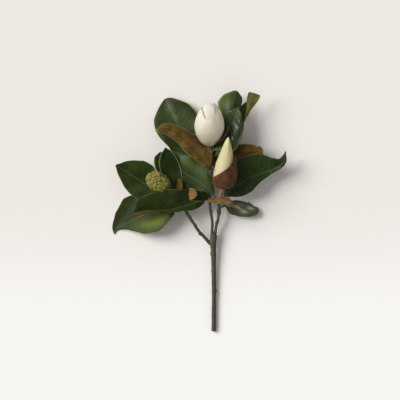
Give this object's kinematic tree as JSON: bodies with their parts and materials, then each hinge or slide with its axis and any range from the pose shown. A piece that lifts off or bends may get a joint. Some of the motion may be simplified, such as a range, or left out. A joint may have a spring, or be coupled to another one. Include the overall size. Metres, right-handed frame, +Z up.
{
  "type": "flowering magnolia branch",
  "caption": "Cut evergreen magnolia branch lying down: forked stem, glossy leaves with rust undersides, a white bud, a cream bud and a seed pod.",
  "frame": {"origin": "bottom centre of the whole branch's box, on the surface that it lies on", "axes": "+X to the right, +Y from the cut end of the stem to the leaf tips, +Z up"},
  "size_m": [0.345, 0.48, 0.093],
  "materials": {
    "bark": "dull dark olive-brown young bark",
    "leaf": "waxy dark green upper side, felted rust-brown underside",
    "white_petal": "thick satin ivory-white petal",
    "cream_petal": "thick satin cream petal, yellow-green at its tip",
    "bract": "dull russet bract",
    "flower_stalk": "dull pinkish-rust downy stalk",
    "pod": "bumpy yellow-green unripe seed pod"
  },
  "bodies": {
    "root": {"bud_bract_left": "bract", "bud_bract_right": "bract", "cream_bract": "bract", "cream_petal_outer": "cream_petal", "cream_petals_inner": "cream_petal", "cream_stalk": "flower_stalk", "leaf_behind_pod": "leaf", "leaf_curled": "leaf", "leaf_far_left": "leaf", "leaf_folded": "leaf", "leaf_front": "leaf", "leaf_hidden_left": "leaf", "leaf_left_inner": "leaf", "leaf_low_left": "leaf", "leaf_low_right": "leaf", "leaf_right": "leaf", "leaf_rust_right": "leaf", "leaf_rust_upper": "leaf", "leaf_top": "leaf", "leaf_top_dark": "leaf", "leaf_top_front": "leaf", "leaf_top_right": "leaf", "leaf_upper_left": "leaf", "left_twig": "bark", "main_stem": "bark", "middle_twig": "bark", "right_twig": "bark", "seed_pod": "pod", "stipule": "bract", "white_petal_back": "white_petal", "white_petal_left": "white_petal", "white_petal_right": "white_petal", "white_petals_inner": "white_petal"}
  },
  "joints": []
}
